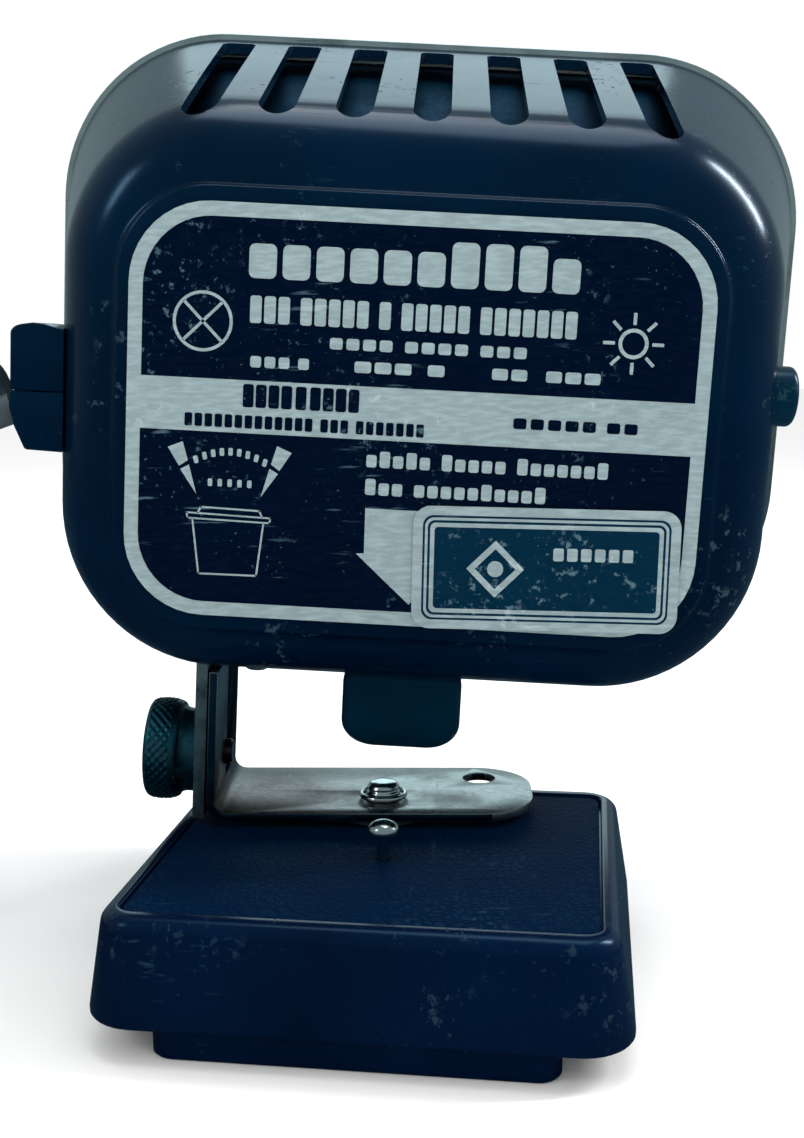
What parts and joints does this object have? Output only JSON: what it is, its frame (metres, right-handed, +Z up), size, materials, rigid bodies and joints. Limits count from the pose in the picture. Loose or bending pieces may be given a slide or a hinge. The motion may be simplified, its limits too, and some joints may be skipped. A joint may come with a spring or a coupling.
{
  "type": "movie light",
  "caption": "Black movie light with a vented flared housing, halogen lamp and guard, on a chromed L bracket that turns on a platform base, with its mains cord coiled beside it.",
  "frame": {"origin": "the middle of the underside of the base's foot, on the surface that it stands on", "axes": "+Z up, +Y the way the lamp shines, +X to the right as seen from behind, from the label side"},
  "size_m": [0.2939, 0.1248, 0.1649],
  "materials": {
    "black_moulding": "glossy, lightly scuffed",
    "grained_pad": "fine leather grain",
    "chrome_steel": "bright, with faint stains",
    "bright_aluminium": "polished",
    "foil_label": "satin foil with dark blue fields",
    "ceramic": "matt unglazed ceramic",
    "quartz": "clear",
    "spring_brass": "satin",
    "cord_jacket": "satin",
    "wire_jacket": "satin"
  },
  "bodies": {
    "base": {"base_shell": "black_moulding", "base_foot": "black_moulding", "base_pad": "grained_pad", "arm_washer": "grained_pad", "foot_screw_1": "chrome_steel", "foot_screw_2": "chrome_steel", "foot_screw_3": "chrome_steel", "foot_screw_4": "chrome_steel"},
    "bracket": {"l_bracket": "chrome_steel", "retaining_ring": "chrome_steel", "power_cord": "cord_jacket", "cord_coil": "cord_jacket", "cord_tie": "black_moulding", "plug_body": "black_moulding", "plug_blade_1": "spring_brass", "plug_blade_2": "spring_brass"},
    "head": {"rear_housing": "black_moulding", "front_bezel": "chrome_steel", "guard_wires": "chrome_steel", "reflector": "bright_aluminium", "heat_baffle": "bright_aluminium", "label_plate": "foil_label", "small_label": "foil_label", "switch_body": "black_moulding", "cord_clamp_upper": "black_moulding", "cord_clamp_lower": "black_moulding", "clamp_screw_1": "chrome_steel", "clamp_screw_2": "chrome_steel", "strain_relief": "cord_jacket", "head_plate": "chrome_steel", "plate_rivet_1": "chrome_steel", "plate_rivet_2": "chrome_steel", "wire_lamp": "wire_jacket", "wire_switch": "wire_jacket"},
    "beam_slide": {"lamp_carriage": "chrome_steel", "lamp_tube": "quartz", "lamp_cap_left": "ceramic", "lamp_cap_right": "ceramic", "lamp_holder_left": "ceramic", "lamp_holder_right": "ceramic", "contact_left": "spring_brass", "contact_right": "spring_brass", "beam_lever": "black_moulding", "lever_rivet_1": "spring_brass", "lever_rivet_2": "spring_brass"},
    "switch": {"switch_button": "black_moulding"},
    "thumb_screw": {"thumb_screw": "chrome_steel"},
    "tripod_screw": {"tripod_screw": "chrome_steel"},
    "locating_pin": {"locating_pin": "chrome_steel", "pin_spring": "chrome_steel"}
  },
  "joints": [
    {"name": "bracket_swivel", "type": "hinge", "parent": "base", "child": "bracket", "pos_m": [-0.0008, 0.018, 0.0234], "axis": [0, 0, 1], "range_deg": [-45, 45]},
    {"name": "head_tilt", "type": "hinge", "parent": "bracket", "child": "head", "pos_m": [-0.03144, 0.0228, 0.0316], "axis": [0.9984, 0, -0.0569], "range_deg": [-6, 6]},
    {"name": "beam_adjust", "type": "slide", "parent": "head", "child": "beam_slide", "axis": [0, 1, 0], "range_m": [0, 0.009]},
    {"name": "switch_press", "type": "slide", "parent": "head", "child": "switch", "axis": [-0.9984, 0, 0.0569], "range_m": [0, 0.0018], "stiffness_N_per_m": 600},
    {"name": "thumb_screw_turn", "type": "hinge", "parent": "head", "child": "thumb_screw", "pos_m": [-0.038, 0.0228, 0.03197], "axis": [0.9984, 0, -0.0569], "continuous": true},
    {"name": "tripod_screw_turn", "type": "hinge", "parent": "base", "child": "tripod_screw", "pos_m": [-0.0008, 0.018, 0], "axis": [0, 0, 1], "continuous": true},
    {"name": "locating_pin_press", "type": "slide", "parent": "base", "child": "locating_pin", "axis": [0, 0, -1], "range_m": [0, 0.0036], "stiffness_N_per_m": 300, "deforming": ["pin_spring"]}
  ]
}
